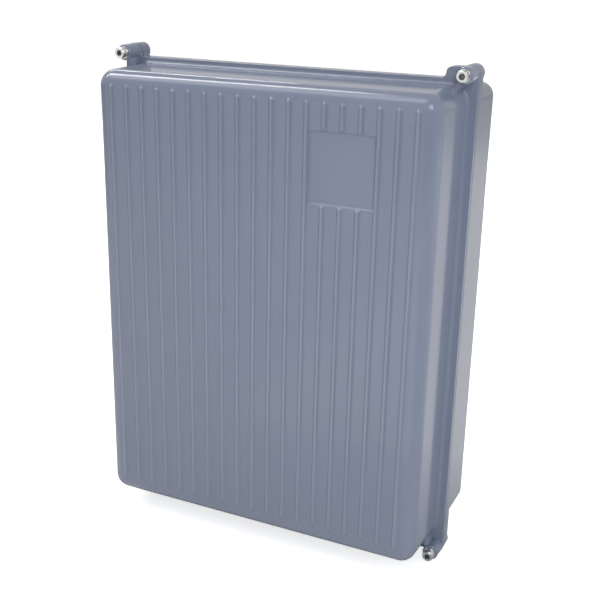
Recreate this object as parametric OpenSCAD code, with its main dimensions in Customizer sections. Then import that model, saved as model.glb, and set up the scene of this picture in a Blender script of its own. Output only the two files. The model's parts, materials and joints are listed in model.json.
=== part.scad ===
// Die-cast aluminium enclosure in two halves: a ribbed cover and a tray base.
// Four captive screws at the corners clamp the cover onto a seal in the base's rim.
// X runs to the right seen from the front, Y from front to back, and Z up.
// The origin is the centre of the rear mounting plane.
// The pieces are drawn face up, with z = 0 on the parting plane, then stood upright.

/* [Flange] */
// Width over the two flanges
flange_w = 343; // [330:1:360]
// Height over the two flanges, without the ears
flange_h = 434; // [420:1:450]
// Thickness of the cover's flange
flange_t = 4; // [3:0.5:6]
// Thickness of the base's flange
base_flange_t = 10; // [8:0.5:14]
// Height in each flange of the relief that runs along the joint
joint_h = 0.7; // [0.4:0.1:1]
// Depth of the relief along the joint
joint_step = 1; // [0.5:0.1:1.2]

/* [Cover] */
// Depth of the cover from the parting plane to the rib crests
cover_d = 71; // [60:1:90]
// Step from the flange's side edge in to the cover's wall
side_step = 8.5; // [8:0.5:12]
// Step from the flange's top edge in to the cover's wall
end_step = 5; // [5:0.5:10]
// Thickness of the cover's walls and face
cover_wall = 4; // [3:0.5:5]
// Draft of the cover's walls, in degrees
draft = 1.5; // [0.5:0.25:2.5]
// Corner radius of the cover's wall at the parting plane
cover_corner_r = 16; // [16:1:26]
// Radius of the rounded front edge
front_r = 13; // [10:0.5:14]
// Radius of the cove where the wall meets the flange
cove_r = 3; // [1.5:0.5:4]

/* [Ribs] */
// Number of ribs across the face
rib_count = 19; // [17:2:21]
// Step from the cover's side in to the middle of the outermost rib
rib_side_step = 19; // [17:0.5:24]
// Step from the cover's top down to the ribs' upper ends
rib_top_step = 14; // [13:0.5:24]
// Step from the cover's bottom up to the ribs' lower ends
rib_bottom_step = 19; // [13:0.5:24]
// Height of a rib above the face
rib_h = 2.1; // [1.5:0.1:2.4]
// Radius of a rib's crest
rib_r = 2; // [1.8:0.1:2.4]
// Radius of the fillet at a rib's foot
rib_foot_r = 2; // [1.5:0.1:2.5]

/* [Recess] */
// First rib that the recess in the face cuts short, counted to the right from the middle one
recess_first_rib = 4; // [2:1:5]
// Number of ribs that the recess cuts short
recess_ribs = 3; // [1:1:3]
// Height of the recess at the face
recess_h = 62; // [40:1:90]
// Step from the ribs' upper ends down to the recess
recess_step = 22.7; // [12:0.1:60]
// Depth of the recess below the face
recess_depth = 1.4; // [0.8:0.1:1.8]
// Width of the recess's sloping edge
recess_slope = 1.6; // [1:0.1:2.5]
// Gap from the recess's side to the rib beside it
recess_side_gap = 2; // [1.5:0.25:4]

/* [Ears] */
// Outer radius of an ear, of the tube's foot and of the lug
ear_r = 7.75; // [6.5:0.25:8]
// Height of the screw's axis beyond the flange's edge
ear_rise = 4.25; // [4:0.25:6]
// Radius of the fillet between an ear and the flange's edge
ear_fillet_r = 3; // [1.5:0.5:4]
// Length of the tube on the cover from the parting plane
tube_len = 19; // [16:1:24]
// Length of the lug on the base from the parting plane
lug_len = 13.5; // [11:0.5:18]
// Bevel at the tube's front edge
tube_bevel = 0.8; // [0.4:0.1:1.2]
// Length of the tab on a right-hand ear from the screw's axis towards the middle
tab_len = 20; // [16:1:26]
// Height of the tab's edge beyond the screw's axis
tab_rise = 5.5; // [4:0.5:6]
// Radius of the tab's rounded corner and of its inner fillet
tab_r = 5; // [3:0.5:5]
// Thickness of the web from the tube to the wall's corner
web_t = 4; // [3:0.5:6]
// Step from the tube's front end back to the web's front edge
web_step = 1; // [1:0.5:6]

/* [Base] */
// Depth of the base from the parting plane to the outside of its rear wall
base_d = 51.5; // [50:0.5:70]
// Step from the flange's top edge in to the base's top wall
base_top_step = 6.5; // [5:0.5:10]
// Step from the flange's bottom edge in to the base's bottom wall
base_bottom_step = 20; // [17:0.5:24]
// Thickness of the base's side walls
base_wall = 7; // [7:0.5:9]
// Thickness of the base's rear wall
rear_wall = 4.5; // [3.5:0.5:7]
// Corner radius of the base
base_corner_r = 12; // [10:0.5:16]
// Radius of the rounded rear edge
rear_r = 5; // [3:0.5:6]

/* [Seal] */
// Step from the flange's edge in to the middle of the seal groove
groove_step = 4.5; // [3.5:0.25:4.75]
// Width of the seal groove
groove_w = 3.4; // [2.6:0.2:4]
// Depth of the seal groove
groove_depth = 2.8; // [2:0.2:4]
// Corner radius of the seal groove's middle line
groove_r = 12; // [8:1:16]
// Clearance from the seal to each side of its groove
seal_gap = 0.2; // [0.1:0.05:0.4]

/* [Cover screws] */
// Radius of the screw's thread
screw_r = 3; // [2.5:0.5:3]
// Length of the screw below its head
screw_len = 30; // [28:1:36]
// Radius of the screw's head
head_r = 5; // [4.5:0.25:5.5]
// Height of the screw's head
head_h = 6; // [5:0.5:7]
// Bevel of the head's front edge and of the screw's tip
head_bevel = 0.5; // [0.3:0.1:0.8]
// Hexagon socket across its flats
socket_af = 5; // [4:0.5:5]
// Depth of the hexagon socket
socket_depth = 3; // [2:0.5:4]
// Clearance round the screw in the base's tapped hole, which is drawn plain
thread_gap = 0.05; // [0.03:0.01:0.1]
// Clearance round the screw in the tube
tube_gap = 0.3; // [0.2:0.05:0.5]
// Outer radius of the washer
washer_r = 5.5; // [5.25:0.25:6.5]
// Thickness of the washer
washer_t = 1.6; // [1:0.2:2]
// Clearance round the screw in the washer
washer_gap = 0.2; // [0.1:0.05:0.4]

/* [Retaining rings] */
// Outer radius of the retaining ring on the screw
ring_r = 4.8; // [4:0.1:5]
// Thickness of the retaining ring
ring_t = 0.7; // [0.5:0.1:1]
// Depth of the ring's groove in the screw
ring_groove = 0.6; // [0.4:0.1:0.8]
// Clearance round the ring in the screw's groove
ring_gap = 0.05; // [0.03:0.01:0.1]
// Width of the ring's open slot
ring_slot = 3; // [2:0.5:4]
// Gap from the ring to the base when the screw is tight
ring_lift = 0.4; // [0.3:0.1:0.8]
// Clearance round the ring in the tube's counterbore
ring_bore_gap = 0.5; // [0.4:0.05:0.7]
// Depth of the tube's counterbore, in which the ring travels
ring_bore_depth = 12; // [11:0.5:14]

/* [Mounting plate] */
// Gap from the inner mounting plate's sides to the base's side walls
plate_side_gap = 22.5; // [18:0.5:30]
// Gap from the inner mounting plate's ends to the base's top and bottom walls
plate_end_gap = 23.5; // [20:0.5:36]
// Thickness of the inner mounting plate
plate_t = 2; // [1.5:0.5:3]
// Corner radius of the inner mounting plate
plate_r = 8; // [4:1:12]
// Step from the plate's edge in to its screws
plate_screw_step = 14; // [10:1:18]
// Radius of the bosses that carry the plate
plate_boss_r = 6; // [5:0.5:8]
// Height of the bosses that carry the plate, above the rear wall
plate_boss_h = 10; // [9:0.5:14]
// Radius of the plate screws
plate_screw_r = 2; // [1.5:0.5:2.5]
// Length of the plate screws below the head
plate_screw_len = 9; // [7:0.5:10]
// Radius of the plate screws' heads
plate_head_r = 4; // [3.5:0.25:5]
// Height of the plate screws' heads
plate_head_h = 2.6; // [2:0.2:3.4]
// Across the flats of the plate screws' sockets
plate_socket_af = 2.5; // [2:0.5:3]
// Depth of the plate screws' sockets
plate_socket_depth = 1.4; // [1:0.2:1.6]
// Clearance round a plate screw in the plate
plate_hole_gap = 0.3; // [0.2:0.1:0.5]

/* [Wall mount] */
// Distance between the mounting pads across the width
mount_pitch_x = 220; // [180:1:240]
// Distance between the mounting pads up the height
mount_pitch_z = 340; // [300:1:350]
// Radius of a mounting pad
pad_r = 12; // [10:0.5:15]
// Height of a mounting pad behind the rear wall
pad_h = 4; // [3:0.5:8]
// Radius of the tapped hole's core in a mounting pad
mount_hole_r = 3.4; // [2.5:0.1:4.2]
// Depth of the tapped hole in a mounting pad
mount_hole_depth = 12; // [10:0.5:13]
// Radius of the boss inside the base behind a pad
mount_boss_r = 9; // [8:0.5:11]
// Height of the boss inside the base behind a pad
mount_boss_h = 8; // [7:0.5:8.5]

/* [Ports] */
// Gap from the base's flange to a blanking plug's head
port_gap = 2.5; // [1.5:0.5:4]
// Distance from port to port
port_pitch = 76; // [50:1:80]
// Radius of a port's thread
port_r = 12.5; // [8:0.25:12.5]
// Radius of a blanking plug's head
plug_head_r = 15; // [14:0.25:16]
// Height of a blanking plug's head
plug_head_h = 5; // [4:0.5:7]
// Bevel round a blanking plug's head
plug_bevel = 1; // [0.5:0.1:1.5]
// Length of a blanking plug's thread inside the seal and the wall
plug_len = 11; // [10:0.5:14]
// Across the flats of a blanking plug's socket
plug_socket_af = 10; // [8:1:12]
// Depth of a blanking plug's socket
plug_socket_depth = 6; // [4:0.5:8]
// Clearance round a blanking plug in its port
plug_gap = 0.05; // [0.03:0.01:0.1]
// Thickness of the sealing ring under a blanking plug
port_seal_t = 1.5; // [1:0.25:2.5]

/* [Earth terminal] */
// Step from the base's side in to the earth screw
earth_step = 41.5; // [32:0.5:46]
// Radius of the earth screw's thread
earth_r = 3; // [2:0.5:3]
// Length of the earth screw below its head
earth_len = 7; // [6:0.5:7.5]
// Earth screw's hexagon head across its flats
earth_af = 10; // [8:0.5:11]
// Height of the earth screw's head
earth_head_h = 4; // [3:0.5:5]
// Outer radius of the earth washer
earth_washer_r = 6.25; // [6:0.25:7]
// Thickness of the earth washer
earth_washer_t = 1.6; // [1:0.2:2]

/* [Hidden] */
$fn = 64;
corner_names = ["tl", "tr", "bl", "br"];
port_names = ["left", "middle", "right"];

// Overlap of a cutting solid past the face that it opens
over = 1;
// Places in the upright frame and in the drawing's own frame
parting_y = -(base_d + pad_h);
face_z = cover_d - rib_h;
ear_x = flange_w / 2 - ear_r;
ear_z = flange_h / 2 + ear_rise;
cover_w = flange_w - 2 * side_step;
cover_h = flange_h - 2 * end_step;
base_top = flange_h / 2 - base_top_step;
base_bottom = -flange_h / 2 + base_bottom_step;
base_h = base_top - base_bottom;
base_mid = (base_top + base_bottom) / 2;
space_w = flange_w - 2 * base_wall;
space_h = base_h - 2 * base_wall;
plate_w = space_w - 2 * plate_side_gap;
plate_h = space_h - 2 * plate_end_gap;
rear_inner_z = -base_d + rear_wall;
plate_z = rear_inner_z + plate_boss_h;
head_z = tube_len + washer_t;
port_z = -(base_flange_t + port_gap + plug_head_r);
earth_x = flange_w / 2 - earth_step;
rib_pitch = (cover_w - 2 * rib_side_step) / (rib_count - 1);
rib_top = cover_h / 2 - rib_top_step;
rib_bottom = rib_bottom_step - cover_h / 2;
// Depth to which a rib's foot runs out below the face, and depth of its root
rib_sink = 0.05;
rib_root = 1.2;
// Height of the middle of a rib's crest above the face, and from there to the middle of its foot's fillet
rib_lift = rib_h - rib_r;
rib_foot_rise = rib_foot_r - rib_sink - rib_lift;
// Half of a rib's width over its feet, then half its width and its height where crest and foot meet
rib_reach = sqrt(pow(rib_r + rib_foot_r, 2) - pow(rib_foot_rise, 2));
rib_side = rib_reach * rib_r / (rib_r + rib_foot_r);
rib_side_h = rib_lift + rib_foot_rise * rib_r / (rib_r + rib_foot_r);
recess_top = rib_top - recess_step;
recess_mid_x = (recess_first_rib + (recess_ribs - 1) / 2) * rib_pitch;
recess_w = (recess_ribs + 1) * rib_pitch - 2 * recess_side_gap;

// Stands a piece that was drawn face up upright, with its parting plane in place
module upright() {
    translate([0, parting_y, 0])
        rotate([90, 0, 0])
            children();
}

// Puts a copy of its child at each of four corners, mirrored from the upper right one
module four_corners() {
    for (sx = [-1, 1])
        for (sz = [-1, 1])
            scale_sign(sx, sz)
                children();
}

// Mirrors its child into the quarter with these signs
module scale_sign(sx, sz) {
    mirror([sx < 0 ? 1 : 0, 0, 0])
        mirror([0, sz < 0 ? 1 : 0, 0])
            children();
}

// Half section of a drafted wall with a rounded front edge, as wide as wall_u at the parting plane
module wall_section(wall_u, top, edge_r, slope, below) {
    edge = [wall_u - (edge_r + (top - edge_r) * sin(slope)) / cos(slope), top - edge_r];
    on_wall = edge + edge_r * [cos(slope), sin(slope)];
    polygon([
        [0, -below], [wall_u + below * tan(slope), -below],
        on_wall, edge, edge + [0, edge_r], [0, top]
    ]);
    intersection() {
        translate(edge)
            circle(edge_r);
        square([wall_u, top]);
    }
}

// Section of the cove that blends the cover's wall into the flange
module cove_section() {
    foot = cover_corner_r - flange_t * tan(draft);
    middle = [foot + cove_r * (1 - sin(draft)) / cos(draft), flange_t + cove_r];
    difference() {
        polygon([
            [foot - cove_r, flange_t / 2], [middle.x, flange_t / 2],
            middle, middle - cove_r * [cos(draft), sin(draft)]
        ]);
        translate(middle)
            circle(cove_r);
    }
}

// Carries a section round a rounded rectangle, measured outward from the corners' centres
module round_the_rim(w, h, r) {
    four_corners()
        translate([w / 2 - r, h / 2 - r, 0])
            rotate_extrude(angle = 90)
                children();
    for (turn = [0, 180]) {
        rotate([0, 0, turn])
            translate([w / 2 - r, h / 2 - r, 0])
                rotate([90, 0, 0])
                    linear_extrude(height = h - 2 * r)
                        children();
        rotate([0, 0, turn + 90])
            translate([h / 2 - r, w / 2 - r, 0])
                rotate([90, 0, 0])
                    linear_extrude(height = w - 2 * r)
                        children();
    }
}

// A solid block with drafted walls and a rounded front edge on a rounded rectangle
module rounded_block(w, h, r, top, edge_r, slope, below = 0) {
    round_the_rim(w, h, r)
        wall_section(r, top, edge_r, slope, below);
    translate([r - w / 2, r - h / 2, -below])
        cube([w - 2 * r, h - 2 * r, top + below]);
}

// Flat plate on a rounded rectangle, from z = 0 up
module rounded_plate(w, h, r, t) {
    round_the_rim(w, h, r)
        square([r, t]);
    translate([r - w / 2, r - h / 2, 0])
        cube([w - 2 * r, h - 2 * r, t]);
}

// Fillet in the corner between the flange's upper edge and a side that rises from it at x
module edge_fillet(x, r, inset) {
    difference() {
        translate([x - r, flange_h / 2 - inset])
            square([r + inset, r + inset]);
        translate([x - r, flange_h / 2 + r])
            circle(r + inset);
    }
}

// Outline of one ear in the upper right quarter
module ear_outline(inset) {
    translate([ear_x, ear_z])
        circle(ear_r - inset);
    translate([ear_x - ear_r + inset, 0])
        square([2 * (ear_r - inset), ear_z]);
    edge_fillet(ear_x - ear_r, ear_fillet_r, inset);
}

// Outline of the tab beside an ear in the upper right quarter
module tab_outline(inset) {
    corner_r = tab_r - inset;
    corner = [ear_x - tab_len + tab_r, ear_z + tab_rise - tab_r];
    translate([corner.x - corner_r, 0])
        square([ear_x - corner.x + corner_r, corner.y]);
    translate([corner.x, 0])
        square([ear_x - corner.x, corner.y + corner_r]);
    translate(corner)
        circle(corner_r);
    edge_fillet(ear_x - tab_len, tab_r, inset);
}

// Outline that the two flanges share, with tabs beside the right-hand ears, set in all round by inset
module flange_outline(inset = 0) {
    square([flange_w - 2 * inset, flange_h - 2 * inset], center = true);
    four_corners()
        ear_outline(inset);
    for (sz = [-1, 1])
        scale_sign(1, sz)
            tab_outline(inset);
}

// Relief cut round both flanges along the joint
module joint_relief() {
    translate([0, 0, -joint_h])
        linear_extrude(height = 2 * joint_h)
            difference() {
                square([flange_w + 2 * over, 2 * (ear_z + ear_r + over)], center = true);
                flange_outline(joint_step);
            }
}

// Drafted tube on an ear of the cover, with its front edge bevelled
module tube() {
    shaft_h = tube_len - tube_bevel;
    neck_r = ear_r - shaft_h * tan(draft);
    translate([ear_x, ear_z, 0]) {
        cylinder(r1 = ear_r, r2 = neck_r, h = shaft_h);
        translate([0, 0, shaft_h])
            cylinder(r1 = neck_r, r2 = neck_r - tube_bevel, h = tube_bevel);
    }
}

// Web from a tube to the corner of the cover's wall
module web() {
    corner = [cover_w / 2 - cover_corner_r, cover_h / 2 - cover_corner_r];
    span = [ear_x, ear_z] - corner;
    translate([corner.x, corner.y, 0])
        rotate([0, 0, atan2(span.y, span.x)])
            translate([cover_corner_r - cover_wall, -web_t / 2, flange_t / 2])
                cube([norm(span) - cover_corner_r + cover_wall, web_t, tube_len - web_step - flange_t / 2]);
}

// Bore for a cover screw, with the counterbore that its retaining ring travels in
module tube_bore() {
    translate([ear_x, ear_z, -over]) {
        cylinder(r = screw_r + tube_gap, h = tube_len + 2 * over);
        cylinder(r = ring_r + ring_bore_gap, h = ring_bore_depth + over);
    }
}

// Right half of a rib's section: the round crest and the fillet at its foot
module rib_section() {
    intersection() {
        translate([0, rib_lift])
            circle(rib_r);
        translate([0, -rib_root])
            square([rib_r, rib_root + rib_h]);
    }
    difference() {
        polygon([
            [0, -rib_root], [rib_reach, -rib_root], [rib_reach, -rib_sink],
            [rib_side, rib_side_h], [0, rib_lift]
        ]);
        translate([rib_reach, rib_foot_r - rib_sink])
            circle(rib_foot_r);
    }
}

// One rib up the face, with round ends
module rib(x) {
    top = rib_top - rib_side;
    bottom = rib_bottom + rib_side;
    translate([x, top, face_z]) {
        rotate_extrude(angle = 180)
            rib_section();
        rotate([90, 0, 0])
            linear_extrude(height = top - bottom) {
                rib_section();
                mirror([1, 0])
                    rib_section();
            }
    }
    translate([x, bottom, face_z])
        rotate([0, 0, 180])
            rotate_extrude(angle = 180)
                rib_section();
}

module ribs() {
    middle = (rib_count - 1) / 2;
    for (i = [-middle : middle])
        rib(i * rib_pitch);
}

// Section across the recess, with sloping sides that lean out by that much above the face
module recess_section(size, lean) {
    foot = size / 2 - recess_slope;
    top = rib_h + over;
    mouth = size / 2 + lean * top;
    polygon([
        [-foot, -recess_depth], [foot, -recess_depth], [size / 2, 0],
        [mouth, top], [-mouth, top], [-size / 2, 0]
    ]);
}

// Shallow recess in the face, as the meeting of two sloping channels, which cuts the ribs in its way
module recess() {
    translate([recess_mid_x, recess_top - recess_h / 2, face_z])
        intersection() {
            translate([0, recess_h, 0])
                rotate([90, 0, 0])
                    linear_extrude(height = 2 * recess_h)
                        recess_section(recess_w, 0);
            translate([-recess_w, 0, 0])
                rotate([90, 0, 90])
                    linear_extrude(height = 2 * recess_w)
                        recess_section(recess_h, recess_slope / recess_depth);
        }
}

// Outer form of the cover, without its ribs
module cover_body() {
    linear_extrude(height = flange_t)
        flange_outline();
    rounded_block(cover_w, cover_h, cover_corner_r, face_z, front_r, draft);
    round_the_rim(cover_w, cover_h, cover_corner_r)
        cove_section();
    four_corners() {
        tube();
        web();
    }
}

module cover() {
    inner_w = cover_w - 2 * cover_wall;
    inner_h = cover_h - 2 * cover_wall;
    inner_corner = cover_corner_r - cover_wall;
    color("slategray")
        upright() {
            difference() {
                union() {
                    cover_body();
                    ribs();
                }
                rounded_block(inner_w, inner_h, inner_corner, face_z - cover_wall,
                    front_r - cover_wall, draft, over);
                four_corners()
                    tube_bore();
                joint_relief();
                recess();
            }
        }
}

// Outer form of the base's tray, rear face down
module tray_body() {
    translate([0, base_mid, 0])
        mirror([0, 0, 1])
            rounded_block(flange_w, base_h, base_corner_r, base_d, rear_r, 0);
}

// Space inside the base's tray
module tray_space() {
    translate([0, base_mid, rear_inner_z])
        rounded_plate(space_w, space_h, base_corner_r - base_wall, base_d - rear_wall + over);
}

// Groove or seal ring round the rim, from the groove's floor up
module rim_ring(width, height) {
    translate([0, 0, -groove_depth])
        round_the_rim(flange_w - 2 * groove_step, flange_h - 2 * groove_step, groove_r)
            translate([groove_r - width / 2, 0])
                square([width, height]);
}

// Places a solid along one plate screw's axis, on top of the plate's boss
module at_plate_screw(sx, sz) {
    translate([0, base_mid, plate_z])
        scale_sign(sx, sz)
            translate([plate_w / 2 - plate_screw_step, plate_h / 2 - plate_screw_step, 0])
                children();
}

// Places a solid along each plate screw's axis
module at_plate_screws() {
    for (sx = [-1, 1])
        for (sz = [-1, 1])
            at_plate_screw(sx, sz)
                children();
}

// Places a solid on a mounting pad's axis, in the mounting plane
module at_mount() {
    translate([mount_pitch_x / 2, mount_pitch_z / 2, -base_d - pad_h])
        children();
}

// Turns a solid so that its own z runs up into the base's bottom wall from outside
module under_bottom(x) {
    translate([x, base_bottom, port_z])
        rotate([-90, 0, 0])
            children();
}

// Middle of a cable port along the bottom wall
function port_x(i) = (i - (len(port_names) - 1) / 2) * port_pitch;

module base() {
    color("slategray")
        upright()
            difference() {
                union() {
                    difference() {
                        union() {
                            tray_body();
                            translate([0, 0, -base_flange_t])
                                linear_extrude(height = base_flange_t)
                                    flange_outline();
                            four_corners()
                                translate([ear_x, ear_z, -lug_len])
                                    cylinder(r = ear_r, h = lug_len);
                        }
                        tray_space();
                    }
                    at_plate_screws()
                        translate([0, 0, -plate_boss_h - rear_wall / 2])
                            cylinder(r = plate_boss_r, h = plate_boss_h + rear_wall / 2);
                    four_corners() {
                        at_mount()
                            cylinder(r = pad_r, h = pad_h + rear_wall / 2);
                        at_mount()
                            translate([0, 0, pad_h + rear_wall / 2])
                                cylinder(r = mount_boss_r, h = mount_boss_h + rear_wall / 2);
                    }
                }
                rim_ring(groove_w, groove_depth + over);
                joint_relief();
                at_plate_screws()
                    translate([0, 0, plate_t - plate_screw_len - over])
                        cylinder(r = plate_screw_r + thread_gap, h = plate_screw_len + 2 * over);
                four_corners() {
                    translate([ear_x, ear_z, -lug_len - over])
                        cylinder(r = screw_r + thread_gap, h = lug_len + 2 * over);
                    at_mount()
                        translate([0, 0, -over])
                            cylinder(r = mount_hole_r, h = mount_hole_depth + over);
                }
                for (i = [0 : len(port_names) - 1])
                    under_bottom(port_x(i))
                        translate([0, 0, -over])
                            cylinder(r = port_r + plug_gap, h = plug_len - port_seal_t + 2 * over);
                under_bottom(earth_x)
                    translate([0, 0, -over])
                        cylinder(r = earth_r + thread_gap, h = earth_len - earth_washer_t + 2 * over);
            }
}

module gasket() {
    color("dimgray")
        upright()
            rim_ring(groove_w - 2 * seal_gap, groove_depth);
}

module mounting_plate() {
    color("silver")
        upright()
            difference() {
                translate([0, base_mid, plate_z])
                    rounded_plate(plate_w, plate_h, plate_r, plate_t);
                at_plate_screws()
                    translate([0, 0, -over])
                        cylinder(r = plate_screw_r + plate_hole_gap, h = plate_t + 2 * over);
            }
}

// Hexagon socket across its flats, sunk from z = 0
module hex_socket(af, depth) {
    translate([0, 0, -depth])
        cylinder(r = af / sqrt(3), h = depth + over, $fn = 6);
}

module cover_screw(sx, sz) {
    tip_z = head_z - screw_len;
    neck_z = ring_lift - ring_gap;
    neck_h = ring_t + 2 * ring_gap;
    color("lightgray")
        upright()
            translate([sx * ear_x, sz * ear_z, 0])
                difference() {
                    union() {
                        translate([0, 0, head_z])
                            cylinder(r = head_r, h = head_h - head_bevel);
                        translate([0, 0, head_z + head_h - head_bevel])
                            cylinder(r1 = head_r, r2 = head_r - head_bevel, h = head_bevel);
                        translate([0, 0, neck_z + neck_h])
                            cylinder(r = screw_r, h = head_z - neck_z - neck_h);
                        translate([0, 0, neck_z])
                            cylinder(r = screw_r - ring_groove, h = neck_h);
                        translate([0, 0, tip_z + head_bevel])
                            cylinder(r = screw_r, h = neck_z - tip_z - head_bevel);
                        translate([0, 0, tip_z])
                            cylinder(r1 = screw_r - head_bevel, r2 = screw_r, h = head_bevel);
                    }
                    translate([0, 0, head_z + head_h])
                        hex_socket(socket_af, socket_depth);
                }
}

module cover_washer(sx, sz) {
    color("gainsboro")
        upright()
            translate([sx * ear_x, sz * ear_z, tube_len])
                difference() {
                    cylinder(r = washer_r, h = washer_t);
                    translate([0, 0, -over])
                        cylinder(r = screw_r + washer_gap, h = washer_t + 2 * over);
                }
}

module retaining_ring(sx, sz) {
    color("darkgray")
        upright()
            translate([sx * ear_x, sz * ear_z, ring_lift])
                difference() {
                    cylinder(r = ring_r, h = ring_t);
                    translate([0, 0, -over])
                        cylinder(r = screw_r - ring_groove + ring_gap, h = ring_t + 2 * over);
                    translate([0, -ring_slot / 2, -over])
                        cube([ring_r + over, ring_slot, ring_t + 2 * over]);
                }
}

module plate_screw(sx, sz) {
    color("lightgray")
        upright()
            at_plate_screw(sx, sz)
                difference() {
                    union() {
                        translate([0, 0, plate_t])
                            cylinder(r = plate_head_r, h = plate_head_h);
                        translate([0, 0, plate_t - plate_screw_len])
                            cylinder(r = plate_screw_r, h = plate_screw_len);
                    }
                    translate([0, 0, plate_t + plate_head_h])
                        hex_socket(plate_socket_af, plate_socket_depth);
                }
}

module port_plug(i) {
    color("slategray")
        upright()
            under_bottom(port_x(i))
                difference() {
                    union() {
                        translate([0, 0, -port_seal_t - plug_head_h])
                            cylinder(r1 = plug_head_r - plug_bevel, r2 = plug_head_r, h = plug_bevel);
                        translate([0, 0, plug_bevel - port_seal_t - plug_head_h])
                            cylinder(r = plug_head_r, h = plug_head_h - plug_bevel);
                        translate([0, 0, -port_seal_t])
                            cylinder(r = port_r, h = plug_len);
                    }
                    translate([0, 0, -port_seal_t - plug_head_h])
                        rotate([180, 0, 0])
                            hex_socket(plug_socket_af, plug_socket_depth);
                }
}

module port_seal(i) {
    color("dimgray")
        upright()
            under_bottom(port_x(i))
                translate([0, 0, -port_seal_t])
                    difference() {
                        cylinder(r = plug_head_r, h = port_seal_t);
                        translate([0, 0, -over])
                            cylinder(r = port_r + seal_gap, h = port_seal_t + 2 * over);
                    }
}

module earth_screw() {
    color("lightgray")
        upright()
            under_bottom(earth_x)
                translate([0, 0, -earth_washer_t]) {
                    translate([0, 0, -earth_head_h])
                        cylinder(r = earth_af / sqrt(3), h = earth_head_h, $fn = 6);
                    cylinder(r = earth_r, h = earth_len);
                }
}

module earth_washer() {
    color("gainsboro")
        upright()
            under_bottom(earth_x)
                translate([0, 0, -earth_washer_t])
                    difference() {
                        cylinder(r = earth_washer_r, h = earth_washer_t);
                        translate([0, 0, -over])
                            cylinder(r = earth_r + washer_gap, h = earth_washer_t + 2 * over);
                    }
}

cover();
base();
gasket();
mounting_plate();
cover_screw(-1, 1);  // cover_screw_tl
cover_screw(1, 1);  // cover_screw_tr
cover_screw(-1, -1);  // cover_screw_bl
cover_screw(1, -1);  // cover_screw_br
cover_washer(-1, 1);  // cover_washer_tl
cover_washer(1, 1);  // cover_washer_tr
cover_washer(-1, -1);  // cover_washer_bl
cover_washer(1, -1);  // cover_washer_br
retaining_ring(-1, 1);  // retaining_ring_tl
retaining_ring(1, 1);  // retaining_ring_tr
retaining_ring(-1, -1);  // retaining_ring_bl
retaining_ring(1, -1);  // retaining_ring_br
plate_screw(-1, 1);  // plate_screw_tl
plate_screw(1, 1);  // plate_screw_tr
plate_screw(-1, -1);  // plate_screw_bl
plate_screw(1, -1);  // plate_screw_br
port_plug(0);  // port_plug_left
port_plug(1);  // port_plug_middle
port_plug(2);  // port_plug_right
port_seal(0);  // port_seal_left
port_seal(1);  // port_seal_middle
port_seal(2);  // port_seal_right
earth_screw();
earth_washer();
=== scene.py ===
import json
import math
from typing import NamedTuple

import bpy
from bpy.props import FloatProperty, FloatVectorProperty, PointerProperty
from mathutils import Matrix, Vector

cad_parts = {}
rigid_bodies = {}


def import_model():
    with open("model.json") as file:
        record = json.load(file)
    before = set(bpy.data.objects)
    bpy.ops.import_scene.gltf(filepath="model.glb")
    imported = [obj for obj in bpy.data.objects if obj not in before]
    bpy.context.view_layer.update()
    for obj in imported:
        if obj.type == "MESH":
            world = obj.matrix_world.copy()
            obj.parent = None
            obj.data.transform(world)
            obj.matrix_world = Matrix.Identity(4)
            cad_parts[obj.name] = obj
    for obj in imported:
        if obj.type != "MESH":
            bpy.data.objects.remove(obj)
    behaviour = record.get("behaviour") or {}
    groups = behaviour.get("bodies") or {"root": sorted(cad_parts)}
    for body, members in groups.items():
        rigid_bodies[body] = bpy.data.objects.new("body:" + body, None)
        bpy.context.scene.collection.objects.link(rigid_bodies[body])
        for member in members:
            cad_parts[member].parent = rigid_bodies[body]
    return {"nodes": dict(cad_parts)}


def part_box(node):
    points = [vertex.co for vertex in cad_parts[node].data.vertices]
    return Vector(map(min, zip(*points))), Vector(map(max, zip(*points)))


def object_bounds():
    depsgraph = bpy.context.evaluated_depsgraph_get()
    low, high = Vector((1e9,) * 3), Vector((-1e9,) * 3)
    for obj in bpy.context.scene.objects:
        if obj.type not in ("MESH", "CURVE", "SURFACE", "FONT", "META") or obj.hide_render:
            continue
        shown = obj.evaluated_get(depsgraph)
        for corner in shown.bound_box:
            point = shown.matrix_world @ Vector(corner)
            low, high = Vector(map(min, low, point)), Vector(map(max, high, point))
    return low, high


bl_info = {
    "name": "Cast enclosure finishes",
    "version": (1, 0, 0),
    "blender": (4, 5, 0),
    "location": "View3D > Sidebar > Enclosure",
    "description": "Paint, metal, rubber and plastic for a die-cast enclosure, and the studio it stands in",
    "category": "Object",
}

MM = 0.001
CORNERS = ("tl", "tr", "bl", "br")
PORTS = ("left", "middle", "right")
WHITE = (1.0, 1.0, 1.0)
BLACK = (0.0, 0.0, 0.0)

for leftover in list(bpy.data.objects):
    bpy.data.objects.remove(leftover)
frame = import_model()
cad_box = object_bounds()


class Finish(NamedTuple):
    """A finish seen close up: sizes in metres, and shades as factors of its colour."""

    grain: float  # spacing of the fine grain
    relief: float  # depth of that grain
    cloud: float  # size of the patches of other shades
    shades: tuple  # the darkest and the lightest of these
    roughness: float  # how dull it is
    spread: float  # how much duller the grain makes it
    edge: float = 0.0  # rounding of the edges


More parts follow.
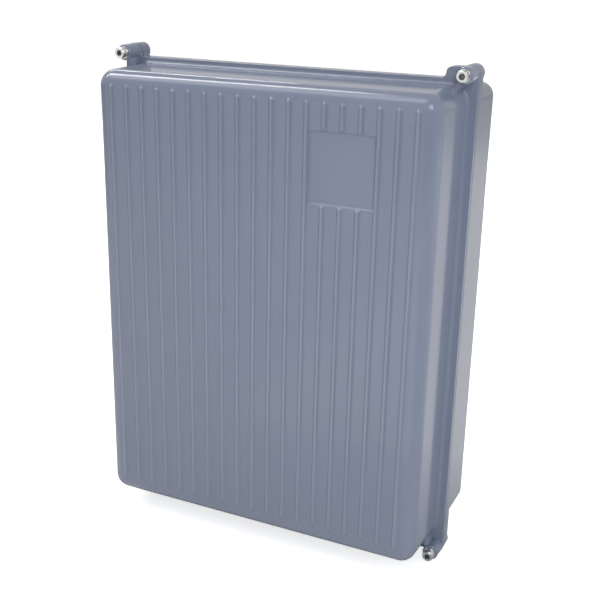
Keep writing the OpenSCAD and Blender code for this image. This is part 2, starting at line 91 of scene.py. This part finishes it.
STEEL = Finish(
    grain=0.25 * MM,
    relief=0.006 * MM,
    cloud=1.5 * MM,
    shades=(0.9, 1.08),
    roughness=0.2,
    spread=0.12,
    edge=0.25 * MM,
)
EARTH_STEEL = STEEL._replace(roughness=0.22)
ZINC = Finish(
    grain=0.6 * MM,
    relief=0.008 * MM,
    cloud=18 * MM,
    shades=(0.86, 1.08),
    roughness=0.3,
    spread=0.12,
    edge=0.4 * MM,
)
RUBBER = Finish(
    grain=0.5 * MM,
    relief=0.03 * MM,
    cloud=9 * MM,
    shades=(0.8, 1.5),
    roughness=0.62,
    spread=0.2,
)
PLASTIC = Finish(
    grain=0.35 * MM,
    relief=0.02 * MM,
    cloud=7 * MM,
    shades=(0.88, 1.12),
    roughness=0.42,
    spread=0.15,
    edge=0.4 * MM,
)
# Paint: the size and shades of its clouds, the shade of its specks and how much they cover
PAINT_CLOUD = 45 * MM
PAINT_SHADES = (0.96, 1.04)
SPECK_SHADE = 1.12
SPECK_COVER = 0.5
# How many specks go to the width of a lump in the paint, the lumps' share of the relief, and how far they
# vary the roughness
SPECKS_PER_LUMP = 3
LUMP_SHARE = 0.75
LUMP_ROUGHNESS = 0.06
# Painted highlight: how much lighter the paint is made along the crests of the ribs, for the light they
# catch, and how far down from the crest that ends
CREST_HIGHLIGHT_LIFT = 0.035
CREST_HIGHLIGHT_DEPTH = 0.9 * MM
# How fast the rings of turned steel change along the axis, against how fast they change away from it
RING_DRIFT = 0.5
# Radii that take in the hexagon sockets of the cover screws and the plate screws, how far below the front of
# the head the socket gets painted shade, that painted shade as a factor of the steel's colour, and how much
# duller it is
COVER_SOCKET_R = 2.92 * MM
PLATE_SOCKET_R = 1.46 * MM
SOCKET_SHADE_DEPTH = 0.2 * MM
SOCKET_PAINTED_SHADE = 0.3
SOCKET_ROUGHNESS = 0.25
# Factors on the three axes that draw the zinc plate's grain out along Z into brush marks, and what the
# plate's clouds add to its roughness
BRUSH_STRETCH = (1.0, 1.0, 0.03)
ZINC_CLOUD_ROUGHNESS = 0.1
# Samples of the node that rounds edges
EDGE_SAMPLES = 6
# Which of a Mix node's sockets are the factor, the two colours and the mixed colour
MIX_INPUTS = (0, 6, 7)
MIX_OUTPUT = 2

# How bright the floor behind and the white above show in gloss, and the colour of the light from all round
GLOSS = 0.38
SKY_GLOSS = 0.65
AMBIENT = (0.05, 0.05, 0.05)
# The floor's colour under the lamps, how far out it is white, and what it shows before the lamps are added,
# as pairs of a share of that distance and a brightness
FLOOR_COLOUR = (0.8, 0.8, 0.8)
GLOW_REACH = 2.5
GLOW = ((0.1, 0.7), (0.9, 1.0))
# The face mirrors a bright fan of the floor: the point that the fan turns about, pairs of degrees from
# straight ahead and a brightness, and pairs of a share of GLOW_REACH and a brightness
FAN_FROM = (0.39, 0.614)
FAN = ((-60, 0.0), (-40, 0.9), (-20, 1.0), (-14, 1.0), (-2, 0.0))
FAN_FADE = ((0.15, 0.65), (0.6, 1.0))
# The walls mirror the floor behind, which grows from dark at the enclosure's rear to GLOSS over this distance
BEHIND = 0.15
# Width of the camera's sensor in millimetres
SENSOR = 36.0

ALONG_X = (1, 0, 0)
ALONG_Y = (0, 1, 0)
WARM = (1.0, 0.97, 0.95)
COOL = (0.8, 0.9, 1.0)


class Lamp(NamedTuple):
    """A lamp that is a lit rectangle."""

    name: str
    place: tuple
    aim: tuple
    across: tuple  # direction of its width
    width: float
    height: float
    watts: float
    colour: tuple = WHITE
    shiny: bool = True  # whether gloss shows it


LAMPS = (
    Lamp("front_card", (0.7, -1.5, 0.25), (0.1, -0.1, 0.0), ALONG_X, 0.5, 0.45, 5.6, WARM, shiny=False),
    Lamp("floor_card", (0.1, -0.8, -0.22), (0.1, -0.8, 1.0), ALONG_X, 0.5, 0.9, 0.7),
    Lamp("key_panel", (0.7, -1.05, 0.85), (0.1, -0.1, 0.1), ALONG_X, 0.6, 0.6, 6.0, COOL),
    Lamp("ceiling_panel", (-0.7, -0.8, 1.8), (0.0, -0.1, 0.1), ALONG_X, 1.4, 1.0, 11.0),
    Lamp("right_panel", (2.2, -0.6, 0.6), (0.1, -0.1, 0.0), ALONG_Y, 1.2, 1.4, 5.5, shiny=False),
    Lamp("side_panel", (2.2, 0.6, 0.6), (0.1, 0.0, 0.0), ALONG_Y, 1.1, 1.4, 15.0, shiny=False),
    Lamp("back_panel", (-1.4, 2.0, 1.0), (0.0, 0.0, 0.0), ALONG_X, 1.6, 1.4, 26.0, shiny=False),
    Lamp("rear_panel", (0.0, 2.0, 0.7), (0.0, 0.0, 0.0), ALONG_X, 1.0, 1.0, 9.0, shiny=False),
    Lamp("left_strip", (-0.95, -0.25, 1.4), (0.0, -0.12, 0.1), (0.9, 0.6, 1.0), 1.3, 0.2, 12.0),
    Lamp("rear_tube", (-1.43, 1.21, 1.45), (0.0, -0.12, 0.2), (0.85, 0.97, 0), 1.3, 0.08, 6.0),
)


class Field:
    """A shader socket that takes part in Python arithmetic by adding Math nodes."""

    def __init__(self, sheet, socket):
        self.sheet = sheet
        self.socket = socket

    def __add__(self, other):
        return self.sheet.math("ADD", self, other)

    def __radd__(self, other):
        return self.sheet.math("ADD", other, self)

    def __sub__(self, other):
        return self.sheet.math("SUBTRACT", self, other)

    def __rsub__(self, other):
        return self.sheet.math("SUBTRACT", other, self)

    def __mul__(self, other):
        return self.sheet.math("MULTIPLY", self, other)

    def __rmul__(self, other):
        return self.sheet.math("MULTIPLY", other, self)

    def __truediv__(self, other):
        return self.sheet.math("DIVIDE", self, other)

    def __rtruediv__(self, other):
        return self.sheet.math("DIVIDE", other, self)

    def __pow__(self, other):
        return self.sheet.math("POWER", self, other)

    def __rpow__(self, other):
        return self.sheet.math("POWER", other, self)

    def __lt__(self, other):
        return self.sheet.math("LESS_THAN", self, other)

    def __gt__(self, other):
        return self.sheet.math("GREATER_THAN", self, other)


class Sheet:
    """The node tree of one material or world."""

    def __init__(self, owner):
        owner.use_nodes = True
        self.tree = owner.node_tree
        self.tree.nodes.clear()

    def node(self, kind, settings=None, inputs=None, output=0):
        """Adds a node of that kind with its settings and inputs, and gives one of its outputs."""
        made = self.tree.nodes.new(kind)
        for name, value in (settings or {}).items():
            if name == "stops":
                self.set_stops(made.color_ramp, value)
            else:
                setattr(made, name, value)
        for key, value in (inputs or {}).items():
            if isinstance(value, Field):
                self.tree.links.new(value.socket, made.inputs[key])
            else:
                made.inputs[key].default_value = value
        return Field(self, made.outputs[output])

    def set_stops(self, ramp, stops):
        """Gives a colour ramp these (place, grey) stops."""
        while len(ramp.elements) < len(stops):
            ramp.elements.new(0.5)
        for element, (place, grey) in zip(ramp.elements, stops):
            element.position = place
            element.color = (grey, grey, grey, 1.0)

    def math(self, operation, *values):
        """A Math node of that operation on these values."""
        return self.node("ShaderNodeMath", {"operation": operation}, dict(enumerate(values)))

    def place(self):
        """The point on the surface in the part's own frame, in metres."""
        return self.node("ShaderNodeTexCoord", output="Object")

    def axes(self, point):
        """The three numbers of a point."""
        return [self.node("ShaderNodeSeparateXYZ", None, {0: point}, axis) for axis in range(3)]

    def stretched(self, point, factors):
        """A point with each axis multiplied by its factor."""
        return self.node("ShaderNodeVectorMath", {"operation": "MULTIPLY"}, {0: point, 1: factors})

    def noise(self, point, size, detail):
        """Soft noise from 0 to 1 with lumps of that size in metres."""
        inputs = {"Vector": point, "Scale": 1.0 / size, "Detail": detail}
        return self.node("ShaderNodeTexNoise", None, inputs)

    def turned(self, point, axis, along, size):
        """The distance from an axis that runs along Y (1) or Z (2), and noise in fine rings round it."""
        places = self.axes(point)
        first, second = (places[i] - axis[i] for i in range(3) if i != along)
        radius = (first ** 2.0 + second ** 2.0) ** 0.5
        drifting = self.node("ShaderNodeCombineXYZ", None, {0: radius, 1: places[along] * RING_DRIFT})
        return radius, self.noise(drifting, size, detail=1.0)

    def ramp(self, value, *stops):
        """A value passed through a ramp of (place, grey) stops."""
        return self.node("ShaderNodeValToRGB", {"stops": stops}, {0: value})

    def mix(self, factor, first, second):
        """A colour between two colours."""
        colours = [c if isinstance(c, Field) else (*c, 1.0) for c in (first, second)]
        inputs = dict(zip(MIX_INPUTS, (factor, *colours)))
        return self.node("ShaderNodeMix", {"data_type": "RGBA"}, inputs, MIX_OUTPUT)

    def mottled(self, factor, colour, shades):
        """A colour that varies between a darker and a lighter shade of it."""
        darker, lighter = shades
        return self.mix(factor, shade(colour, darker), shade(colour, lighter))

    def bump(self, height, depth, normal=None):
        """A normal tilted by a height field whose full range is that many metres."""
        inputs = {"Height": height, "Strength": 1.0, "Distance": depth}
        if normal is not None:
            inputs["Normal"] = normal
        return self.node("ShaderNodeBump", None, inputs)

    def soft_edges(self, radius):
        """A normal that rounds sharp edges by that radius."""
        return self.node("ShaderNodeBevel", {"samples": EDGE_SAMPLES}, {"Radius": radius})

    def seen(self, gloss):
        """1 for a camera or transmission ray, gloss for a glossy ray, and 0 for the light that spreads."""
        camera, transmission, glossy = (
            self.node("ShaderNodeLightPath", None, None, output)
            for output in ("Is Camera Ray", "Is Transmission Ray", "Is Glossy Ray")
        )
        return 1 - (1 - camera) * (1 - transmission) * (1 - gloss * glossy)

    def surface(self, **sockets):
        """Ends the tree in a Principled shader with these sockets, spaces written as underscores."""
        inputs = {}
        for name, value in sockets.items():
            if isinstance(value, tuple):
                value = (*value, 1.0)
            inputs[name.replace("_", " ")] = value
        self.end("ShaderNodeOutputMaterial", self.node("ShaderNodeBsdfPrincipled", None, inputs))

    def end(self, kind, shader):
        """Ends the tree in an output node."""
        output = self.tree.nodes.new(kind)
        self.tree.links.new(shader.socket, output.inputs["Surface"])


def shade(colour, factor):
    """A colour made lighter or darker."""
    return tuple(channel * factor for channel in colour)


def dress(material, nodes):
    """Gives CAD nodes that material in their only slot."""
    for name in nodes:
        slots = frame["nodes"][name].data.materials
        slots.clear()
        slots.append(material)


def centre(node):
    """The centre of a CAD node's box."""
    low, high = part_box(node)
    return (low + high) / 2


def sprayed_paint(material, paint, colour):
    """Glossy paint with the fine lumps that spraying leaves, and a painted highlight along the crests of the
    ribs.
    """
    sheet = Sheet(material)
    point = sheet.place()
    lumps = sheet.noise(point, paint.peel_size, detail=1.0)
    specks = sheet.noise(point, paint.peel_size / SPECKS_PER_LUMP, detail=0.0)
    clouds = sheet.noise(point, PAINT_CLOUD, detail=2.0)
    clouded = sheet.mottled(clouds, colour, PAINT_SHADES)
    speckled = sheet.mix(specks * SPECK_COVER, clouded, shade(colour, SPECK_SHADE))
    # Painted highlight: the colour is made lighter along the rib crests, for the light that the crests catch
    below_crest = (sheet.axes(point)[1] - cad_box[0][1]) / CREST_HIGHLIGHT_DEPTH
    crest_highlight_mask = sheet.ramp(below_crest, (0.0, 1.0), (1.0, 0.0))
    crest_highlight = tuple(channel + CREST_HIGHLIGHT_LIFT for channel in colour)
    height = lumps * LUMP_SHARE + specks * (1 - LUMP_SHARE)
    sheet.surface(
        Base_Color=sheet.mix(crest_highlight_mask, speckled, crest_highlight),
        Roughness=paint.roughness + LUMP_ROUGHNESS * (lumps - 0.5),
        Normal=sheet.bump(height, paint.peel_depth, sheet.soft_edges(paint.edge)),
    )


def turned_steel(material, colour, screw, socket_r):
    """Steel with the fine rings that turning leaves round a screw's axis along Y, and painted shade in its
    socket.
    """
    sheet = Sheet(material)
    point = sheet.place()
    radius, rings = sheet.turned(point, centre(screw), 1, STEEL.grain)
    smears = sheet.noise(point, STEEL.cloud, detail=2.0)
    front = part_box(screw)[0].y
    # Painted shade: the steel inside the hexagon socket is darkened for the shadow that falls there
    socket = (radius < socket_r) * (sheet.axes(point)[1] > front + SOCKET_SHADE_DEPTH)
    bright = sheet.mottled(smears, colour, STEEL.shades)
    sheet.surface(
        Base_Color=sheet.mix(socket, bright, shade(colour, SOCKET_PAINTED_SHADE)),
        Metallic=1.0,
        Roughness=STEEL.roughness + STEEL.spread * rings + SOCKET_ROUGHNESS * socket,
        Normal=sheet.bump(rings, STEEL.relief, sheet.soft_edges(STEEL.edge)),
    )


class PaintSettings(bpy.types.PropertyGroup):
    """The paint of the cover and the base"""

    colour: FloatVectorProperty(
        name="Paint",
        description="Colour of the painted castings",
        subtype="COLOR",
        min=0.0,
        max=1.0,
        default=(0.192, 0.219, 0.292),
    )
    # Painted shade: the base's paint is a darker, warmer copy of the cover's, for the darker, warmer
    # reflection its sides show
    base_shade_tone: FloatVectorProperty(
        name="Base tone",
        description="What the base's coat of paint multiplies the colour by",
        subtype="COLOR",
        min=0.0,
        max=1.0,
        default=(0.94, 0.9, 0.86),
    )
    roughness: FloatProperty(
        name="Roughness",
        description="How dull the paint is",
        subtype="FACTOR",
        min=0.0,
        max=1.0,
        default=0.14,
    )
    edge: FloatProperty(
        name="Edge radius",
        description="Rounding of the cast edges under the paint",
        unit="LENGTH",
        min=0.0,
        default=1.0 * MM,
    )
    peel_size: FloatProperty(
        name="Peel size",
        description="Spacing of the fine lumps in the sprayed paint",
        unit="LENGTH",
        min=0.1 * MM,
        default=1.6 * MM,
    )
    peel_depth: FloatProperty(
        name="Peel depth",
        description="Height of the fine lumps in the sprayed paint",
        unit="LENGTH",
        min=0.0,
        default=0.012 * MM,
    )


class HardwareSettings(bpy.types.PropertyGroup):
    """The colours of the metal, rubber and plastic pieces"""

    steel: FloatVectorProperty(
        name="Stainless steel",
        description="Colour of the screws, washers and snap rings",
        subtype="COLOR",
        min=0.0,
        max=1.0,
        default=(0.72, 0.71, 0.69),
    )
    zinc: FloatVectorProperty(
        name="Zinc plate",
        description="Colour of the mounting plate",
        subtype="COLOR",
        min=0.0,
        max=1.0,
        default=(0.62, 0.64, 0.66),
    )
    rubber: FloatVectorProperty(
        name="Rubber",
        description="Colour of the gasket and the port seals",
        subtype="COLOR",
        min=0.0,
        max=1.0,
        default=(0.018, 0.018, 0.019),
    )
    plastic: FloatVectorProperty(
        name="Plug plastic",
        description="Colour of the blanking plugs",
        subtype="COLOR",
        min=0.0,
        max=1.0,
        default=(0.045, 0.047, 0.05),
    )


class StudioSettings(bpy.types.PropertyGroup):
    """The camera and the floor"""

    camera_place: FloatVectorProperty(
        name="Camera",
        description="Where the camera stands",
        subtype="XYZ",
        unit="LENGTH",
        default=(0.390344, -0.867359, 0.307866),
    )
    camera_aim: FloatVectorProperty(
        name="Aim",
        description="The point that the camera looks at",
        subtype="XYZ",
        unit="LENGTH",
        default=(0.046851, -0.1265, 0.027729),
    )
    camera_roll: FloatProperty(
        name="Roll",
        description="Turn of the camera about its line of sight",
        unit="ROTATION",
        default=math.radians(1.276),
    )
    lens: FloatProperty(
        name="Lens",
        description="Focal length in millimetres on a 36 mm sensor",
        default=59.786,
    )
    floor_size: FloatProperty(
        name="Floor",
        description="Side of the floor",
        unit="LENGTH",
        default=40.0,
    )


class ENCLOSURE_OT_castings(bpy.types.Operator):
    """Paints the cover and the base"""

    bl_idname = "enclosure.castings"
    bl_label = "Paint the castings"

    def execute(self, context):
        paint = context.scene.enclosure_paint
        # Painted shade: the base takes the paint colour darkened and warmed by the base tone
        shaded_base_colour = tuple(channel * tone for channel, tone in zip(paint.colour, paint.base_shade_tone))
        for node, colour in (("cover", tuple(paint.colour)), ("base", shaded_base_colour)):
            material = bpy.data.materials.new(f"sprayed_paint_{node}")
            sprayed_paint(material, paint, colour)
            dress(material, (node,))
        return {"FINISHED"}


class ENCLOSURE_OT_cover_screws(bpy.types.Operator):
    """Finishes the cover screws, their washers and snap rings"""

    bl_idname = "enclosure.cover_screws"
    bl_label = "Finish the cover screws"

    def execute(self, context):
        steel = tuple(context.scene.enclosure_hardware.steel)
        for corner in CORNERS:
            screw = f"cover_screw_{corner}"
            material = bpy.data.materials.new(f"turned_steel_{corner}")
            turned_steel(material, steel, screw, COVER_SOCKET_R)
            dress(material, (screw, f"cover_washer_{corner}", f"retaining_ring_{corner}"))
        return {"FINISHED"}


class ENCLOSURE_OT_inner_plate(bpy.types.Operator):
    """Finishes the mounting plate and its screws"""

    bl_idname = "enclosure.inner_plate"
    bl_label = "Finish the mounting plate"

    def execute(self, context):
        hardware = context.scene.enclosure_hardware
        material = bpy.data.materials.new("zinc_sheet")
        sheet = Sheet(material)
        point = sheet.place()
        brushed = sheet.noise(sheet.stretched(point, BRUSH_STRETCH), ZINC.grain, detail=2.0)
        clouds = sheet.noise(point, ZINC.cloud, detail=3.0)
        sheet.surface(
            Base_Color=sheet.mottled(clouds, tuple(hardware.zinc), ZINC.shades),
            Metallic=1.0,
            Roughness=ZINC.roughness + ZINC.spread * brushed + ZINC_CLOUD_ROUGHNESS * clouds,
            Normal=sheet.bump(brushed, ZINC.relief, sheet.soft_edges(ZINC.edge)),
        )
        dress(material, ("mounting_plate",))
        for corner in CORNERS:
            screw = f"plate_screw_{corner}"
            material = bpy.data.materials.new(f"turned_steel_plate_{corner}")
            turned_steel(material, tuple(hardware.steel), screw, PLATE_SOCKET_R)
            dress(material, (screw,))
        return {"FINISHED"}


class ENCLOSURE_OT_seals(bpy.types.Operator):
    """Finishes the gasket and the port seals"""

    bl_idname = "enclosure.seals"
    bl_label = "Finish the seals"

    def execute(self, context):
        rubber = tuple(context.scene.enclosure_hardware.rubber)
        material = bpy.data.materials.new("seal_rubber")
        sheet = Sheet(material)
        point = sheet.place()
        grain = sheet.noise(point, RUBBER.grain, detail=2.0)
        bloom = sheet.noise(point, RUBBER.cloud, detail=3.0)
        sheet.surface(
            Base_Color=sheet.mottled(bloom, rubber, RUBBER.shades),
            Roughness=RUBBER.roughness + RUBBER.spread * grain,
            Normal=sheet.bump(grain, RUBBER.relief),
        )
        dress(material, ("gasket", *(f"port_seal_{port}" for port in PORTS)))
        return {"FINISHED"}


class ENCLOSURE_OT_port_plugs(bpy.types.Operator):
    """Finishes the blanking plugs"""

    bl_idname = "enclosure.port_plugs"
    bl_label = "Finish the port plugs"

    def execute(self, context):
        plastic = tuple(context.scene.enclosure_hardware.plastic)
        material = bpy.data.materials.new("plug_plastic")
        sheet = Sheet(material)
        point = sheet.place()
        grain = sheet.noise(point, PLASTIC.grain, detail=1.0)
        clouds = sheet.noise(point, PLASTIC.cloud, detail=2.0)
        sheet.surface(
            Base_Color=sheet.mottled(clouds, plastic, PLASTIC.shades),
            Roughness=PLASTIC.roughness + PLASTIC.spread * grain,
            Normal=sheet.bump(grain, PLASTIC.relief, sheet.soft_edges(PLASTIC.edge)),
        )
        dress(material, [f"port_plug_{port}" for port in PORTS])
        return {"FINISHED"}


class ENCLOSURE_OT_earth_terminal(bpy.types.Operator):
    """Finishes the earth screw and its washer"""

    bl_idname = "enclosure.earth_terminal"
    bl_label = "Finish the earth terminal"

    def execute(self, context):
        steel = tuple(context.scene.enclosure_hardware.steel)
        material = bpy.data.materials.new("earth_steel")
        sheet = Sheet(material)
        point = sheet.place()
        _, rings = sheet.turned(point, centre("earth_screw"), 2, EARTH_STEEL.grain)
        smears = sheet.noise(point, EARTH_STEEL.cloud, detail=2.0)
        sheet.surface(
            Base_Color=sheet.mottled(smears, steel, EARTH_STEEL.shades),
            Metallic=1.0,
            Roughness=EARTH_STEEL.roughness + EARTH_STEEL.spread * rings,
            Normal=sheet.bump(rings, EARTH_STEEL.relief, sheet.soft_edges(EARTH_STEEL.edge)),
        )
        dress(material, ("earth_screw", "earth_washer"))
        return {"FINISHED"}


class ENCLOSURE_OT_studio(bpy.types.Operator):
    """Makes the floor, the lamps, the backdrop and the camera"""

    bl_idname = "enclosure.studio"
    bl_label = "Set the studio"

    def execute(self, context):
        scene = context.scene
        studio = scene.enclosure_studio
        scene.view_settings.view_transform = "Standard"
        self.lay_floor(scene, studio.floor_size, cad_box[0][2])
        self.hang_lamps(scene)
        self.light_world(scene)
        self.place_camera(scene, studio)
        return {"FINISHED"}

    def lay_floor(self, scene, size, level):
        """Lays a floor that looks white and keeps the shadow, and in gloss is bright in a fan and behind."""
        half = size / 2
        mesh = bpy.data.meshes.new("floor")
        corners = [(-half, -half, level), (half, -half, level), (half, half, level), (-half, half, level)]
        mesh.from_pydata(corners, [], [(0, 1, 2, 3)])
        floor = bpy.data.objects.new("floor", mesh)
        scene.collection.objects.link(floor)
        material = bpy.data.materials.new("pale_floor")
        sheet = Sheet(material)
        x, y, _ = sheet.axes(sheet.place())
        away = (x ** 2.0 + y ** 2.0) ** 0.5 / GLOW_REACH
        turn = sheet.math("ARCTAN2", x - FAN_FROM[0], FAN_FROM[1] - y) / math.tau + 0.5
        fan = sheet.ramp(turn, *[(degrees / 360 + 0.5, grey) for degrees, grey in FAN])
        in_front = y < cad_box[0][1]
        behind = sheet.ramp(y / BEHIND, (0.0, 0.0), (1.0, GLOSS))
        gloss = sheet.math("MAXIMUM", fan * in_front * sheet.ramp(away, *FAN_FADE), behind)
        sheet.surface(
            Base_Color=FLOOR_COLOUR,
            Roughness=1.0,
            Specular_IOR_Level=0.0,
            Emission_Color=sheet.mix(sheet.seen(gloss), BLACK, sheet.ramp(away, *GLOW)),
            Emission_Strength=1.0,
        )
        mesh.materials.append(material)

    def hang_lamps(self, scene):
        """Hangs each lamp in its place, turned to its aim and hidden from the camera."""
        for lamp in LAMPS:
            light = bpy.data.lights.new(lamp.name, "AREA")
            light.shape = "RECTANGLE"
            light.size = lamp.width
            light.size_y = lamp.height
            light.energy = lamp.watts
            light.color = lamp.colour
            held = bpy.data.objects.new(lamp.name, light)
            held.visible_camera = False
            held.visible_glossy = lamp.shiny
            scene.collection.objects.link(held)
            place = Vector(lamp.place)
            back = (place - Vector(lamp.aim)).normalized()
            up = back.cross(Vector(lamp.across)).normalized()
            turn = Matrix((up.cross(back), up, back)).transposed().to_4x4()
            held.matrix_world = Matrix.Translation(place) @ turn

    def light_world(self, scene):
        """Makes a world that looks white and spreads a little light."""
        world = bpy.data.worlds.new("studio_world")
        scene.world = world
        sheet = Sheet(world)
        colour = sheet.mix(sheet.seen(SKY_GLOSS), AMBIENT, WHITE)
        sheet.end("ShaderNodeOutputWorld", sheet.node("ShaderNodeBackground", None, {"Color": colour}))

    def place_camera(self, scene, studio):
        """Places the camera, aims it and rolls it about its line of sight."""
        camera = bpy.data.cameras.new("camera")
        camera.sensor_width = SENSOR
        camera.lens = studio.lens
        held = bpy.data.objects.new("camera", camera)
        scene.collection.objects.link(held)
        place = Vector(studio.camera_place)
        line = Vector(studio.camera_aim) - place
        turn = line.to_track_quat("-Z", "Y").to_matrix().to_4x4()
        held.matrix_world = Matrix.Translation(place) @ turn @ Matrix.Rotation(studio.camera_roll, 4, "Z")
        scene.camera = held


STEPS = (
    ENCLOSURE_OT_castings,
    ENCLOSURE_OT_cover_screws,
    ENCLOSURE_OT_inner_plate,
    ENCLOSURE_OT_seals,
    ENCLOSURE_OT_port_plugs,
    ENCLOSURE_OT_earth_terminal,
    ENCLOSURE_OT_studio,
)
GROUPS = {
    "enclosure_paint": PaintSettings,
    "enclosure_hardware": HardwareSettings,
    "enclosure_studio": StudioSettings,
}


class ENCLOSURE_PT_panel(bpy.types.Panel):
    """The enclosure's finishes and studio"""

    bl_idname = "ENCLOSURE_PT_panel"
    bl_label = "Enclosure"
    bl_space_type = "VIEW_3D"
    bl_region_type = "UI"
    bl_category = "Enclosure"

    def draw(self, context):
        for group in GROUPS:
            settings = getattr(context.scene, group)
            for name in settings.__annotations__:
                self.layout.prop(settings, name)
        for step in STEPS:
            self.layout.operator(step.bl_idname)


def register():
    """Registers the settings, the operators and the panel."""
    for cls in (*GROUPS.values(), *STEPS, ENCLOSURE_PT_panel):
        bpy.utils.register_class(cls)
    for name, group in GROUPS.items():
        setattr(bpy.types.Scene, name, PointerProperty(type=group))


def unregister():
    """Takes back what register does."""
    for name in GROUPS:
        delattr(bpy.types.Scene, name)
    for cls in reversed((*GROUPS.values(), *STEPS, ENCLOSURE_PT_panel)):
        bpy.utils.unregister_class(cls)


def main():
    """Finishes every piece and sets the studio."""
    register()
    bpy.ops.enclosure.castings()
    bpy.ops.enclosure.cover_screws()
    bpy.ops.enclosure.inner_plate()
    bpy.ops.enclosure.seals()
    bpy.ops.enclosure.port_plugs()
    bpy.ops.enclosure.earth_terminal()
    bpy.ops.enclosure.studio()


if __name__ == "__main__":
    main()
